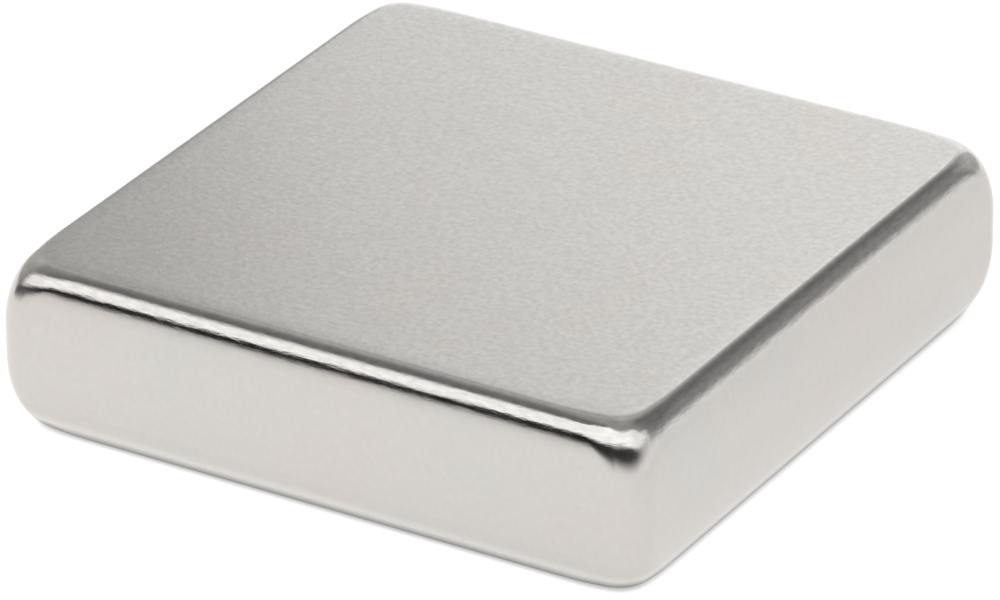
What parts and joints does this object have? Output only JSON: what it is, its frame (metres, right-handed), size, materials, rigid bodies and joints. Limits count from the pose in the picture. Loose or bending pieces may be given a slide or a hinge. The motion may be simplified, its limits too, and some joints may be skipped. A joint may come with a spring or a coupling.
{
  "type": "block magnet",
  "caption": "Flat square block magnet with rolled edges and rounded corners under satin nickel plate, for holding, closing or sensing.",
  "frame": {"origin": "middle of the lower large face, which the magnet rests on", "axes": "+Z through the thickness, from the lower large face to the upper one; X and Y square to the sides, -Y towards the front side"},
  "size_m": [0.02, 0.02, 0.005],
  "materials": {
    "nickel_plate": "satin nickel plate, mottled on the large faces and brighter on the sides and rolled edges"
  },
  "bodies": {
    "root": {"magnet_block": "nickel_plate"}
  },
  "joints": []
}
